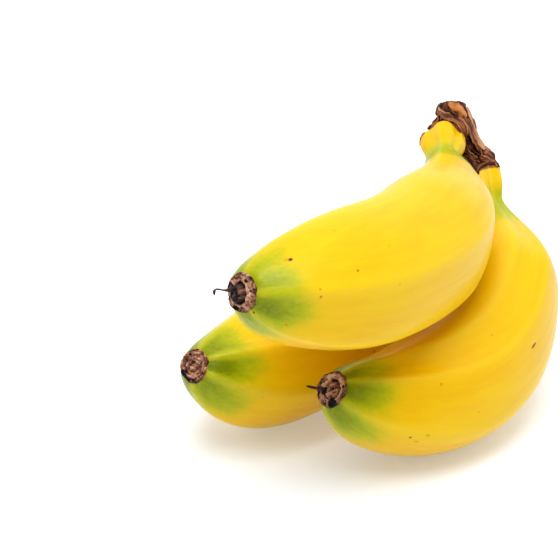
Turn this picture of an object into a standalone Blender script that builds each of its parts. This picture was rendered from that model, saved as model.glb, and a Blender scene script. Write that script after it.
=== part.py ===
"""A hand of three short, plump bananas that grew from one crown, lying on the two lower fruits.

Lengths are written in millimetres and angles in degrees; the model is in metres with +Z up. Each fruit
is a loft along a bent centreline: its heading is the direction of growth in plan (0 is +X, -90 is -Y)
and its rise is the slope of that direction above level, both given at the crown, at a third, at two
thirds and at the flower end.
"""

import math

import bmesh
import bpy
import numpy as np
from mathutils import Matrix, Vector, noise

MM = 0.001

# The three fruits: where each neck starts, how it bends, how long and how thick it is.
# "swell" is where the neck begins to widen and where the fruit is at its full thickness, "taper" is
# where it starts to narrow again, both as shares of the length. "ridges" are the five angles round the
# section where it has a soft ridge, and "turn" and "twist" roll them.
FINGERS = {
    "top": {
        "neck": (21.8, 53.0, 68.7),
        "heading": (-89.0, -105.2, -130.0, -139.0),
        "rise": (-17.0, -4.2, 5.5, 16.0),
        "length": 139.0,
        "belly": 19.4,
        "swell": (0.05, 0.48),
        "taper": 0.68,
        "turn": 46.0,
        "twist": -8.0,
        "ridges": (36.0, 96.0, 156.0, 240.0, 312.0),
    },
    "right": {
        "neck": (33.8, 53.0, 56.2),
        "heading": (-76.0, -98.5, -132.5, -148.0),
        "rise": (-45.0, -29.0, -3.0, 33.0),
        "length": 126.0,
        "belly": 19.3,
        "swell": (0.07, 0.32),
        "taper": 0.60,
        "turn": 34.0,
        "twist": 30.0,
        "ridges": (60.0, 144.0, 204.0, 240.0, 324.0),
    },
    "left": {
        "neck": (27.5, 67.8, 60.8),
        "heading": (-136.0, -128.5, -130.0, -137.0),
        "rise": (-47.0, -29.0, -5.0, 31.0),
        "length": 135.0,
        "belly": 20.1,
        "swell": (0.14, 0.42),
        "taper": 0.65,
        "turn": 20.0,
        "twist": 15.0,
        "ridges": (72.0, 144.0, 192.0, 252.0, 336.0),
    },
}

# What the three fruits have in common: a narrow neck that flares where it meets the crown and is four
# sided there, then five soft ridges that are plainest near the flower end.
NECK_RADIUS = 5.2
NECK_FLARE = 1.3
NECK_FLARE_LENGTH = 8.0
NECK_SQUARENESS = 0.12
TIP_RADIUS = 5.2
TIP_BLUNTNESS = 0.7
RIDGE_DEPTH_BELLY = 0.045
RIDGE_DEPTH_TIP = 0.13
RIDGE_DEPTH_RISE = 6
RIDGE_SHARPNESS = 1.6
RIDGE_MEAN = 0.42
NECK_CORNER = 216.0
NECK_CORNER_SHARE = 0.08
NECK_FADE = 4
SHOULDER_SHARPNESS = 0.75
SIDES = 30
STATIONS = 40
END_CROWDING = 0.07

# The dry crown: round lumps that grew together, each a centre and three half-sizes.
CROWN_LUMPS = {
    "cut_end": ((25.0, 60.0, 76.5), (4.3, 6.0, 7.0)),
    "behind_top_neck": ((23.6, 60.0, 66.2), (6.4, 7.5, 6.8)),
    "over_top_neck": ((26.6, 56.0, 71.0), (5.0, 5.0, 4.5)),
    "middle": ((27.8, 60.0, 68.5), (4.6, 5.5, 6.0)),
    "lower_middle": ((30.2, 59.0, 62.3), (5.2, 5.5, 6.0)),
    "heart": ((27.5, 63.0, 64.5), (6.0, 6.5, 6.5)),
    "over_right_neck": ((34.4, 56.0, 58.2), (5.3, 6.0, 4.5)),
    "over_left_neck": ((28.2, 69.0, 63.0), (6.6, 6.4, 6.4)),
    "bark_tip": ((30.6, 56.0, 58.0), (3.6, 4.0, 5.0)),
}
CROWN_VOXEL = 1.3
CROWN_RELIEF = 0.9
CROWN_GRAIN = (0.16, 0.16, 0.05)

# The knife cut that parted the hand from its stalk: a point on it, and its lean away from level.
CUT_POINT = (24.3, 58.0, 79.0)
CUT_LEAN = 28.0

# The dry flower remains at the far end of each fruit, and the withered style that two still carry.
FLOWER_END_RADIUS = 4.9
FLOWER_END_HEIGHT = 2.2
STYLE_RADIUS = 0.9
STYLE_LENGTH = {"top": 5.5, "right": 4.0, "left": 2.6}

# Touching pieces keep this gap.
GAP = 0.3

COLOURS = {
    "peel": (0.93, 0.62, 0.05),
    "crown": (0.16, 0.065, 0.03),
    "flower_end": (0.13, 0.06, 0.035),
}


def clear_scene():
    for obj in list(bpy.data.objects):
        bpy.data.objects.remove(obj, do_unlink=True)


def new_collection(name):
    collection = bpy.data.collections.new(name)
    bpy.context.scene.collection.children.link(collection)
    return collection


def new_material(name, colour, roughness):
    material = bpy.data.materials.new(name)
    material.use_nodes = True
    shader = material.node_tree.nodes["Principled BSDF"]
    shader.inputs["Base Color"].default_value = (*colour, 1.0)
    shader.inputs["Roughness"].default_value = roughness
    shader.inputs["Metallic"].default_value = 0.0
    return material


def smooth_step(value):
    value = np.clip(value, 0.0, 1.0)
    return value * value * (3.0 - 2.0 * value)


def through_four(values, share):
    """The cubic through four values given at the start, a third, two thirds and the end."""
    return np.polyval(np.polyfit((0.0, 1 / 3, 2 / 3, 1.0), values, 3), share)


def growth_directions(finger, share):
    heading = np.radians(through_four(finger["heading"], share))
    rise = np.radians(through_four(finger["rise"], share))
    level = np.cos(rise)
    return np.stack([np.cos(heading) * level, np.sin(heading) * level, np.sin(rise)], axis=-1)


def centreline(finger, share):
    """Points along the bent axis of a fruit at the given shares of its length."""
    fine = np.linspace(0.0, 1.0, 401)
    directions = growth_directions(finger, fine)
    steps = (directions[1:] + directions[:-1]) / 2 * finger["length"] / (len(fine) - 1)
    walked = np.concatenate([np.zeros((1, 3)), np.cumsum(steps, axis=0)]) + finger["neck"]
    return np.stack([np.interp(share, fine, walked[:, axis]) for axis in range(3)], axis=-1)


def radius_along(finger, share):
    """Neck, swelling shoulder, full belly and the blunt taper to the flower end."""
    start, full = finger["swell"]
    rise = smooth_step((share - start) / (full - start)) ** SHOULDER_SHARPNESS
    past_taper = np.clip((share - finger["taper"]) / (1.0 - finger["taper"]), 0.0, 1.0)
    flare = NECK_FLARE * np.exp(-((share * finger["length"] / NECK_FLARE_LENGTH) ** NECK_FADE))
    body = NECK_RADIUS + flare + (finger["belly"] - NECK_RADIUS) * rise
    return TIP_RADIUS + (body - TIP_RADIUS) * (1.0 - past_taper**2) ** TIP_BLUNTNESS


def ridge_height(finger, around):
    """Between 0 in a face and 1 on one of the five soft ridges, at angles round the section."""
    first = finger["ridges"][0]
    crests = np.radians([*finger["ridges"], first + 360.0])
    from_first = (around - crests[0]) % (2 * math.pi) + crests[0]
    phase = np.interp(from_first, crests, np.arange(len(crests)) * 2 * math.pi)
    return ((1.0 + np.cos(phase)) / 2) ** RIDGE_SHARPNESS


def section_factors(finger, share, around):
    """How far the section stands out from a circle at each angle round it."""
    deepening = share**RIDGE_DEPTH_RISE
    depth = RIDGE_DEPTH_BELLY + (RIDGE_DEPTH_TIP - RIDGE_DEPTH_BELLY) * deepening
    ridges = depth * (ridge_height(finger, around) - RIDGE_MEAN)
    squareness = NECK_SQUARENESS * math.exp(-((share / NECK_CORNER_SHARE) ** NECK_FADE))
    return 1.0 + ridges + squareness * np.cos(4 * (around - math.radians(NECK_CORNER)))


def carried_frames(directions):
    """A side and a normal for each direction, turned as little as possible from one to the next."""
    sides = []
    side = np.cross(directions[0], (0.0, 0.0, 1.0))
    for direction in directions:
        side = side - direction * (side @ direction)
        side = side / np.linalg.norm(side)
        sides.append(side)
    sides = np.array(sides)
    return sides, np.cross(directions, sides)


def loft_mesh(name, rings):
    """A closed mesh through rings of points, each the same count, with flat ends."""
    mesh_builder = bmesh.new()
    rows = [[mesh_builder.verts.new(Vector(point) * MM) for point in ring] for ring in rings]
    count = len(rows[0])
    for low, high in zip(rows, rows[1:]):
        for i in range(count):
            j = (i + 1) % count
            mesh_builder.faces.new((low[i], low[j], high[j], high[i]))
    mesh_builder.faces.new(reversed(rows[0]))
    mesh_builder.faces.new(rows[-1])
    bmesh.ops.recalc_face_normals(mesh_builder, faces=mesh_builder.faces)
    mesh = bpy.data.meshes.new(name)
    mesh_builder.to_mesh(mesh)
    mesh_builder.free()
    return mesh


def finger_mesh(name, finger, extra=0.0):
    """The loft of one fruit; extra makes it that much thicker and longer at the neck, for a cutter."""
    even = np.linspace(0.0, 1.0, STATIONS)
    share = even - END_CROWDING * np.sin(2 * math.pi * even)
    directions = growth_directions(finger, share)
    sides, normals = carried_frames(directions)
    points = centreline(finger, share)
    points[0] -= directions[0] * extra
    radii = radius_along(finger, share) + extra
    around = np.arange(SIDES) * 2 * math.pi / SIDES
    rings = []
    for i, radius in enumerate(radii):
        roll = math.radians(finger["turn"] + finger["twist"] * (share[i] - 0.5))
        angles = (around + roll)[:, None]
        reach = radius * section_factors(finger, share[i], around)[:, None]
        rings.append(points[i] + reach * (np.cos(angles) * sides[i] + np.sin(angles) * normals[i]))
    return loft_mesh(name, rings)


def place(name, mesh, collection, material=None):
    obj = bpy.data.objects.new(name, mesh)
    collection.objects.link(obj)
    if material:
        mesh.materials.append(material)
    return obj


def as_cutter(obj):
    obj.hide_render = True
    obj.display_type = "WIRE"
    return obj


def cut(obj, cutter):
    modifier = obj.modifiers.new("cut " + cutter.name, "BOOLEAN")
    modifier.operation = "DIFFERENCE"
    modifier.solver = "EXACT"
    modifier.object = cutter


def shade_round(obj, limit):
    obj.data.shade_smooth()
    obj.data.set_sharp_from_angle(angle=math.radians(limit))


def make_block(name, side, middle, lean, collection):
    """A cube that cuts, with its middle and its lean towards -Y given."""
    turned = (math.radians(-lean), 0.0, 0.0)
    bpy.ops.mesh.primitive_cube_add(size=side * MM, location=middle * MM, rotation=turned)
    block = bpy.context.object
    block.name = name
    for holder in list(block.users_collection):
        holder.objects.unlink(block)
    collection.objects.link(block)
    return as_cutter(block)


def make_floor_cutter(collection):
    """A block whose top is the surface that the two lower fruits are pressed flat against."""
    side = 300
    return make_block("floor_cutter", side, Vector((0.0, 0.0, -side / 2)), 0.0, collection)


def make_knife(collection):
    """A block whose underside is the plane of the cut through the stalk."""
    side = 40
    lean = math.radians(CUT_LEAN)
    upward = Vector((0.0, math.sin(lean), math.cos(lean)))
    return make_block("knife", side, Vector(CUT_POINT) + upward * side / 2, CUT_LEAN, collection)


def crown_mesh():
    """The lumps fused by a voxel remesh, then roughened along the grain of the dry fibres."""
    builder = bmesh.new()
    for centre, half in CROWN_LUMPS.values():
        shape = Matrix.LocRotScale(Vector(centre) * MM, None, Vector(half) * MM)
        bmesh.ops.create_icosphere(builder, subdivisions=3, radius=1.0, matrix=shape)
    mesh = bpy.data.meshes.new("crown")
    builder.to_mesh(mesh)
    builder.free()
    return mesh


def fuse_lumps(obj):
    remesh = obj.modifiers.new("fuse", "REMESH")
    remesh.mode = "VOXEL"
    remesh.voxel_size = CROWN_VOXEL * MM
    remesh.adaptivity = 0.0
    soften = obj.modifiers.new("soften", "SMOOTH")
    soften.iterations = 3
    graph = bpy.context.evaluated_depsgraph_get()
    fused = bpy.data.meshes.new_from_object(obj.evaluated_get(graph))
    obj.modifiers.clear()
    obj.data = fused
    for vertex in fused.vertices:
        place_mm = vertex.co / MM
        grain = Vector(place_mm[axis] * CROWN_GRAIN[axis] for axis in range(3))
        vertex.co += vertex.normal * noise.noise(grain * 2.2) * CROWN_RELIEF * MM


def flower_end_profile(style_length):
    """Radius and height pairs from the outer rim of the base up to the point of the style."""
    radius, height, style = FLOWER_END_RADIUS, FLOWER_END_HEIGHT, STYLE_RADIUS
    return [
        (0.0, 0.0),
        (radius * 0.94, 0.0),
        (radius, height * 0.35),
        (radius * 0.92, height * 0.85),
        (radius * 0.74, height),
        (radius * 0.55, height * 0.72),
        (style * 1.7, height * 0.78),
        (style, height * 1.2),
        (style * 0.62, height + style_length * 0.8),
        (0.0, height + style_length),
    ]


def make_flower_end(name, finger, style_length, collection, material):
    """A turned corky cap with its style, set just past the end of the fruit."""
    profile = [(max(r, 0.0) * MM, 0.0, z * MM) for r, z in flower_end_profile(style_length)]
    mesh = bpy.data.meshes.new(name)
    mesh.from_pydata(profile, [(i, i + 1) for i in range(len(profile) - 1)], [])
    obj = place(name, mesh, collection, material)
    turn = obj.modifiers.new("turn", "SCREW")
    turn.steps = 20
    turn.render_steps = 20
    turn.use_merge_vertices = True
    turn.merge_threshold = 0.00001
    turn.use_normal_calculate = True
    end = np.array([1.0])
    direction = Vector(growth_directions(finger, end)[0])
    obj.location = (Vector(centreline(finger, end)[0]) + direction * GAP) * MM
    obj.rotation_euler = direction.to_track_quat("Z", "Y").to_euler()
    return obj


def world_bounds(objects):
    """The lowest and highest corner of everything, from the finished surfaces themselves."""
    bpy.context.view_layer.update()
    graph = bpy.context.evaluated_depsgraph_get()
    points = []
    for obj in objects:
        evaluated = obj.evaluated_get(graph)
        points += [evaluated.matrix_world @ vertex.co for vertex in evaluated.data.vertices]
    points = np.array(points)
    return points.min(axis=0), points.max(axis=0)


def main():
    clear_scene()
    parts = new_collection("banana_hand")
    cutters = new_collection("cutters")
    peel = new_material("peel", COLOURS["peel"], 0.42)
    crown_stuff = new_material("crown_fibre", COLOURS["crown"], 0.85)
    flower_stuff = new_material("flower_end", COLOURS["flower_end"], 0.9)

    floor_cutter = make_floor_cutter(cutters)
    crown = place("crown", crown_mesh(), parts, crown_stuff)
    fuse_lumps(crown)
    cut(crown, make_knife(cutters))
    nodes = [crown]
    for name, finger in FINGERS.items():
        fruit = place("finger_" + name, finger_mesh("finger_" + name, finger), parts, peel)
        shade_round(fruit, 50)
        if name != "top":
            cut(fruit, floor_cutter)
        cutter_name = "socket_" + name
        socket = place(cutter_name, finger_mesh(cutter_name, finger, GAP), cutters)
        cut(crown, as_cutter(socket))
        cap = make_flower_end("flower_end_" + name, finger, STYLE_LENGTH[name], parts, flower_stuff)
        nodes += [fruit, cap]
    shade_round(crown, 60)

    # The middle of the hand's footprint becomes the origin.
    low, high = world_bounds(nodes)
    hand = bpy.data.objects.new("hand", None)
    parts.objects.link(hand)
    for obj in nodes + list(cutters.objects):
        obj.parent = hand
    hand.location = (-(low[0] + high[0]) / 2, -(low[1] + high[1]) / 2, 0.0)


main()
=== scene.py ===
"""The looks of a hand of three bananas: fine peel, corky flower ends, a dry fibrous crown, floor and light.

Lengths are written in millimetres and angles in degrees; meshes are made in metres. Points of the hand
are given from its own zero, which HAND_PLACE sets in the row frame.
"""

import math

import bmesh
import bpy
import numpy as np
from mathutils import Matrix, Vector, noise
from mathutils.bvhtree import BVHTree


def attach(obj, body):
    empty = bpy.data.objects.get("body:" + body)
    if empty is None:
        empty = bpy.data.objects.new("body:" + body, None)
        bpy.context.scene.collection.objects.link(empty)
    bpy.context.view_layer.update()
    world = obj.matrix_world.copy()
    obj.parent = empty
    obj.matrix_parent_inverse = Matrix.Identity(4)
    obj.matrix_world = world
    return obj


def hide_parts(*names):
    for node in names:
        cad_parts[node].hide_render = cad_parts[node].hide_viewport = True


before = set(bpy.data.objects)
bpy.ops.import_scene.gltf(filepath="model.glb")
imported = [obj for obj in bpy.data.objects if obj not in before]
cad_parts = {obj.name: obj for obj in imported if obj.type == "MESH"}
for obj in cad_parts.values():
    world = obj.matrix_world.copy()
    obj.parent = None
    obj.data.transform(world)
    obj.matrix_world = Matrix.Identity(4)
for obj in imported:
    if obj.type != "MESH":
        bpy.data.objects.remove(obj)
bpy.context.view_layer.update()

MM = 0.001
FULL_TURN = 2 * math.pi
HAND_PLACE = np.array((0.46, -2.89, 0.0))

# The three fruits, with the driving sizes of their solids. "root" is how far the neck runs on into the
# crown and "run" how far the peel runs on under the cork; "green_reach" is how far the green runs from
# the flower end, "greens" how green each face is there, face by face from the first ridge; "neck_green"
# is the middle, width and strength of the green band on the neck; "stain" is the reach of the brown rim.
FINGERS = {
    "top": {
        "neck": (21.8, 53.0, 68.7),
        "heading": (-89.0, -105.2, -130.0, -139.0),
        "rise": (-17.0, -4.2, 5.5, 16.0),
        "length": 139.0,
        "belly": 19.4,
        "swell": (0.05, 0.48),
        "taper": 0.68,
        "turn": 46.0,
        "twist": -8.0,
        "ridges": (36.0, 96.0, 156.0, 240.0, 312.0),
        "root": 0.0,
        "stain": 0.8,
        "run": 0.85,
        "green_reach": 14.5,
        "greens": (0.6, 0.90, 0.52, 0.5, 0.55),
        "neck_green": (15.4, 8.4, 0.60),
    },
    "right": {
        "neck": (33.8, 53.0, 56.2),
        "heading": (-76.0, -98.5, -132.5, -148.0),
        "rise": (-45.0, -29.0, -3.0, 33.0),
        "length": 126.0,
        "belly": 19.3,
        "swell": (0.07, 0.32),
        "taper": 0.60,
        "turn": 34.0,
        "twist": 30.0,
        "ridges": (60.0, 144.0, 204.0, 240.0, 324.0),
        "root": 1.9,
        "stain": 0.6,
        "run": 1.7,
        "green_reach": 16.0,
        "greens": (0.75, 0.72, 0.82, 0.75, 0.6),
        "neck_green": (14.0, 9.0, 0.58),
    },
    "left": {
        "neck": (27.5, 67.8, 60.8),
        "heading": (-136.0, -128.5, -130.0, -137.0),
        "rise": (-47.0, -29.0, -5.0, 31.0),
        "length": 135.0,
        "belly": 20.1,
        "swell": (0.14, 0.42),
        "taper": 0.65,
        "turn": 20.0,
        "twist": 15.0,
        "ridges": (72.0, 144.0, 192.0, 252.0, 336.0),
        "root": 0.9,
        "stain": 1.2,
        "run": 0.5,
        "green_reach": 16.5,
        "greens": (0.66, 1.0, 0.66, 0.68, 0.55),
        "neck_green": (22.0, 9.0, 0.5),
    },
}
AXIS_STEPS = 401
CURVE_STEPS = 16
NECK_RADIUS = 5.2
NECK_FLARE = 1.3
NECK_FLARE_LENGTH = 8.0
NECK_SQUARENESS = 0.12
TIP_RADIUS = 5.2
TIP_BLUNTNESS = 0.7
RIDGE_DEPTH_BELLY = 0.045
RIDGE_DEPTH_TIP = 0.13
RIDGE_DEPTH_RISE = 6
RIDGE_SHARPNESS = 1.6
RIDGE_MEAN = 0.42
NECK_CORNER = 216.0
NECK_CORNER_SHARE = 0.08
NECK_FADE = 4
SHOULDER_SHARPNESS = 0.75

# How finely the peel is drawn and how far it stays inside the faceted solid.
PEEL_SIDES = 180
PEEL_STATIONS = 300
PEEL_CROWDING = 0.08
PEEL_INSET = 0.20

# The rounded ends of the peel: share of the radius and step along the fruit, outwards from the last ring.
NECK_END = ((0.97, -0.3), (0.88, -0.6), (0.55, -0.8))
TIP_END = ((0.97, 0.16), (0.91, 0.25), (0.80, 0.12), (0.45, -0.25))
TIP_ROUNDING = 5.0
TIP_ROUNDING_SHARE = 0.65
RUN_FROM = 0.86

# Relief of the peel: soft dents, a fine crest on each ridge, wrinkles near both ends, the crease where the
# neck of the top fruit meets its shoulder, and how far that neck is drawn in on its right.
DENT_SCALE = 0.05
DENT_HEIGHT = 0.16
DENT_CEILING = 0.15
CREST = 0.20
CREST_SHARPNESS = 9
CREST_BASE = 0.3
WRINKLE_SCALE = 1.5
WRINKLE_HEIGHT = 0.09
WRINKLE_GRAIN = (6.0, 6.0, 0.02)
WRINKLE_REACH = 13.0
NECK_FOLDS = 0.35
CREASE_AT = 16.8
CREASE_SWING = 1.8
CREASE_WIDTH = 1.8
CREASE_DEPTH = 0.16
NECK_PINCH = 1.3
NECK_PINCH_AT = 10.5
NECK_PINCH_LENGTH = 4.5
NECK_PINCH_SIDE = 0.9

# How the tints of the peel spread. The green of a face reaches and shows by a first number and a second one
# times how green that face is; the rim at the tip has a strength, a start and a fade.
WANDER_GRAIN = (1.0, 1.0, 0.35)
WANDER_SCALE = 0.16
GREEN_REACH_BY_FACE = (0.7, 0.45)
GREEN_BY_FACE = (0.48, 0.55)
GREEN_LEAD = 4.5
GREEN_FADE = 22.0
GREEN_WANDER = 4.0
# Green taken off the ridges so that they look lit: a painted highlight.
GREEN_LOST_TO_RIDGE_HIGHLIGHT = 0.40
NECK_GREEN_WANDER = 2.0
STAIN_WANDER = 1.4
TIP_RIM = (0.6, 0.05, 0.15)

# The photograph's viewpoint: level heading along +Y, looking down, 560 pixels wide.
CAMERA_ELEVATION = 24.0
CAMERA_DISTANCE = 560.0
CAMERA_LENS = 122.4
CAMERA_SENSOR = 36.0
CAMERA_FAR = 20.0
CAMERA_AIM = np.array((-28.5, 9.9, 40.2))
PHOTO_WIDTH = 560
CAMERA_TILT = math.radians(CAMERA_ELEVATION)
VIEW_AHEAD = np.array((0.0, math.cos(CAMERA_TILT), -math.sin(CAMERA_TILT)))
VIEW_UP = np.array((0.0, -VIEW_AHEAD[2], VIEW_AHEAD[1]))
VIEW_RIGHT = np.array((1.0, 0.0, 0.0))
FLOOR_CLEARANCE = 0.02

# How far a band may stand off the surface where its line of sight passes by it, and where along that
# line the nearest surface is looked for, from the hand's middle.
OVERHANG = 0.5
SEARCH_FROM = -80.0
SEARCH_TO = 90.0
SEARCH_STEP = 0.5


# Shape laws shared with the solids.

def to_row(points):
    """Millimetres from the hand's zero to metres in the row frame."""
    return (np.asarray(points, dtype=float) + HAND_PLACE) * MM


def smooth_step(value):
    value = np.clip(value, 0.0, 1.0)
    return value * value * (3.0 - 2.0 * value)


def through_four(values, share):
    """The cubic through four values given at the start, a third, two thirds and the end."""
    return np.polyval(np.polyfit((0.0, 1 / 3, 2 / 3, 1.0), values, 3), share)


def growth_directions(finger, share):
    heading = np.radians(through_four(finger["heading"], share))
    rise = np.radians(through_four(finger["rise"], share))
    level = np.cos(rise)
    return np.stack([np.cos(heading) * level, np.sin(heading) * level, np.sin(rise)], axis=-1)


def centreline(finger, share):
    """Points along the bent axis of a fruit at the given shares of its length."""
    fine = np.linspace(0.0, 1.0, AXIS_STEPS)
    directions = growth_directions(finger, fine)
    steps = (directions[1:] + directions[:-1]) / 2 * finger["length"] / (len(fine) - 1)
    walked = np.concatenate([np.zeros((1, 3)), np.cumsum(steps, axis=0)]) + finger["neck"]
    return np.stack([np.interp(share, fine, walked[:, axis]) for axis in range(3)], axis=-1)


def radius_along(finger, share):
    """Neck, swelling shoulder, full belly and the blunt taper to the flower end."""
    start, full = finger["swell"]
    rise = smooth_step((share - start) / (full - start)) ** SHOULDER_SHARPNESS
    past_taper = np.clip((share - finger["taper"]) / (1.0 - finger["taper"]), 0.0, 1.0)
    flare = NECK_FLARE * np.exp(-((share * finger["length"] / NECK_FLARE_LENGTH) ** NECK_FADE))
    body = NECK_RADIUS + flare + (finger["belly"] - NECK_RADIUS) * rise
    return TIP_RADIUS + (body - TIP_RADIUS) * (1.0 - past_taper**2) ** TIP_BLUNTNESS


def ridge_height(finger, around):
    """Between 0 in a face and 1 on one of the five soft ridges, at angles round the section."""
    first = finger["ridges"][0]
    crests = np.radians([*finger["ridges"], first + 360.0])
    from_first = (around - crests[0]) % FULL_TURN + crests[0]
    phase = np.interp(from_first, crests, np.arange(len(crests)) * FULL_TURN)
    return ((1.0 + np.cos(phase)) / 2) ** RIDGE_SHARPNESS


def section_factors(finger, share, around):
    """How far the section stands out from a circle at each angle round it."""
    deepening = share**RIDGE_DEPTH_RISE
    depth = RIDGE_DEPTH_BELLY + (RIDGE_DEPTH_TIP - RIDGE_DEPTH_BELLY) * deepening
    ridges = depth * (ridge_height(finger, around) - RIDGE_MEAN)
    squareness = NECK_SQUARENESS * np.exp(-((share / NECK_CORNER_SHARE) ** NECK_FADE))
    return 1.0 + ridges + squareness * np.cos(4 * (around - math.radians(NECK_CORNER)))


def carried_frames(directions):
    """A side and a normal for each direction, turned as little as possible from one to the next."""
    sides = []
    side = np.cross(directions[0], (0.0, 0.0, 1.0))
    for direction in directions:
        side = side - direction * (side @ direction)
        side = side / np.linalg.norm(side)
        sides.append(side)
    sides = np.array(sides)
    return sides, np.cross(directions, sides)


# Tools for meshes, noise and places.

def angles_round(count):
    """Even steps once round, from 0."""
    return np.arange(count) * FULL_TURN / count


def walked_along(points):
    """How far each point lies from the first, along the line through them."""
    return np.concatenate([[0.0], np.cumsum(np.linalg.norm(np.diff(points, axis=0), axis=1))])


def points_of(mesh):
    """The vertices of a mesh, in millimetres from the hand's zero."""
    return np.array([vertex.co for vertex in mesh.vertices]) / MM - HAND_PLACE


def put_in_scene(name, data):
    made = bpy.data.objects.new(name, data)
    bpy.context.scene.collection.objects.link(made)
    return made


def grid_mesh(name, rows):
    """A closed tube of quads through rows of points in metres."""
    count = rows.shape[1]
    points = [tuple(point) for row in rows for point in row]
    faces = []
    for i in range(len(rows) - 1):
        for j in range(count):
            k = (j + 1) % count
            faces.append((i * count + j, i * count + k, (i + 1) * count + k, (i + 1) * count + j))
    last = (len(rows) - 1) * count
    faces.append(tuple(reversed(range(count))))
    faces.append(tuple(range(last, last + count)))
    mesh = bpy.data.meshes.new(name)
    mesh.from_pydata(points, [], faces)
    builder = bmesh.new()
    builder.from_mesh(mesh)
    bmesh.ops.recalc_face_normals(builder, faces=builder.faces)
    builder.to_mesh(mesh)
    builder.free()
    return mesh


def joined_mesh(name, meshes):
    """Several meshes in one, with their stored values kept."""
    joiner, *extra = [put_in_scene(name, mesh) for mesh in meshes]
    with bpy.context.temp_override(active_object=joiner, selected_editable_objects=[joiner, *extra]):
        bpy.ops.object.join()
    mesh = joiner.data
    bpy.data.objects.remove(joiner)
    return mesh


def give_attribute(mesh, name, values):
    """Stores one number or one vector for each vertex, for a material to read."""
    flat = np.asarray(values, dtype=np.float32).ravel()
    kind, field = ("FLOAT", "value") if len(flat) == len(mesh.vertices) else ("FLOAT_VECTOR", "vector")
    mesh.attributes.new(name, kind, "POINT").data.foreach_set(field, flat)


def add_piece(name, mesh, material, replaced=None):
    """Puts a finished mesh in the scene as a piece that rides on the hand."""
    mesh.materials.append(material)
    mesh.shade_smooth()
    piece = put_in_scene(name, mesh)
    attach(piece, "root")
    if replaced:
        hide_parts(replaced)


def soft_noise(points, scale, seed):
    """Smooth noise between -1 and 1 at each point; scale is in waves to the millimetre."""
    shift = Vector((seed * 7.3 + 0.5, seed * 3.1 + 0.5, seed * 5.7 + 0.5))
    flat = np.asarray(points, dtype=float).reshape(-1, 3) * scale
    values = [noise.noise(Vector(point) + shift) for point in flat]
    return np.array(values).reshape(np.shape(points)[:-1])


def rough_noise(points, scale, seed):
    """Noise with finer and finer detail on top."""
    return sum(soft_noise(points, scale * 2**i, seed + i) / 2**i for i in range(3))


def tree_of(*meshes):
    """A search tree over meshes, in millimetres from the hand's zero."""
    points = []
    faces = []
    for mesh in meshes:
        first = len(points)
        faces += [tuple(first + corner for corner in polygon.vertices) for polygon in mesh.polygons]
        points += [Vector(point) for point in points_of(mesh)]
    return BVHTree.FromPolygons(points, faces)


def photo_ray(pixel):
    """Where the line of sight through a pixel of the photograph starts, and its direction."""
    focal = CAMERA_LENS / CAMERA_SENSOR * PHOTO_WIDTH
    across = (pixel[0] - PHOTO_WIDTH / 2) / focal
    rise = (PHOTO_WIDTH / 2 - pixel[1]) / focal
    direction = VIEW_AHEAD + VIEW_RIGHT * across + VIEW_UP * rise
    return CAMERA_AIM - VIEW_AHEAD * CAMERA_DISTANCE, direction / np.linalg.norm(direction)


def near_surface(tree, point):
    """The nearest place of a surface, up to OVERHANG off it towards the point, and its normal."""
    nearest, normal, _, _ = tree.find_nearest(Vector(point))
    nearest = np.array(nearest)
    normal = np.array(normal)
    standing = np.clip((point - nearest) @ normal, 0.0, OVERHANG)
    return nearest + normal * standing, normal


def seen_at(tree, pixel):
    """The point of a surface seen at a pixel and its normal, or the nearest to the line of sight."""
    start, direction = photo_ray(pixel)
    place, normal, _, _ = tree.ray_cast(Vector(start), Vector(direction))
    if place is not None:
        return np.array(place), np.array(normal)
    reaches = np.arange(CAMERA_DISTANCE + SEARCH_FROM, CAMERA_DISTANCE + SEARCH_TO, SEARCH_STEP)
    tries = [(tree.find_nearest(Vector(start + direction * reach))[3], reach) for reach in reaches]
    return near_surface(tree, start + direction * min(tries)[1])


def smooth_line(points, count):
    """Points at even steps along a smooth curve through the given ones."""
    points = np.array(points, dtype=float)
    padded = np.concatenate([[2 * points[0] - points[1]], points, [2 * points[-1] - points[-2]]])
    fine = []
    for a, b, c, d in zip(padded, padded[1:], padded[2:], padded[3:]):
        for t in np.linspace(0.0, 1.0, CURVE_STEPS, endpoint=False):
            bend = 2 * b + (c - a) * t + (2 * a - 5 * b + 4 * c - d) * t**2 + (3 * b - a - 3 * c + d) * t**3
            fine.append(bend / 2)
    fine = np.array([*fine, points[-1]])
    walked = walked_along(fine)
    even = np.linspace(0.0, walked[-1], count)
    return np.stack([np.interp(even, walked, fine[:, axis]) for axis in range(fine.shape[1])], axis=-1)


def eased_limit(values, limit, easing):
    """Values that flatten out softly below a limit."""
    over = np.maximum(values - (limit - easing), 0.0)
    return np.minimum(values, limit - easing) + easing * (1.0 - np.exp(-over / easing))


def inside_crown_box(points):
    """Points of the crown, eased to stay within the back and the top of its solid."""
    points = np.array(points)
    points[..., 1] = eased_limit(points[..., 1], CROWN_BACK, CROWN_EASING)
    points[..., 2] = eased_limit(points[..., 2], CROWN_TOP, CROWN_EASING / 2)
    return points


def steadied(rows, passes):
    """Rows of numbers with each pulled towards its neighbours."""
    rows = rows.copy()
    for _ in range(passes):
        rows[1:-1] = (rows[:-2] + rows[1:-1] * 2 + rows[2:]) / 4
    return rows


def unit(vectors):
    return vectors / np.maximum(np.linalg.norm(vectors, axis=-1, keepdims=True), 1e-9)


# Materials. LIGHT_GIVEN_BACK dims every colour of the hand, so that light dies out between the fruits.
LIGHT_GIVEN_BACK = (0.86, 0.86, 0.86, 1.0)


def srgb(red, green, blue):
    """A colour given as it looks on a screen, 0 to 255, as the linear colour that a shader takes."""
    shares = [value / 255 for value in (red, green, blue)]
    linear = [s / 12.92 if s <= 0.04045 else ((s + 0.055) / 1.055) ** 2.4 for s in shares]
    return (*linear, 1.0)


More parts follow.
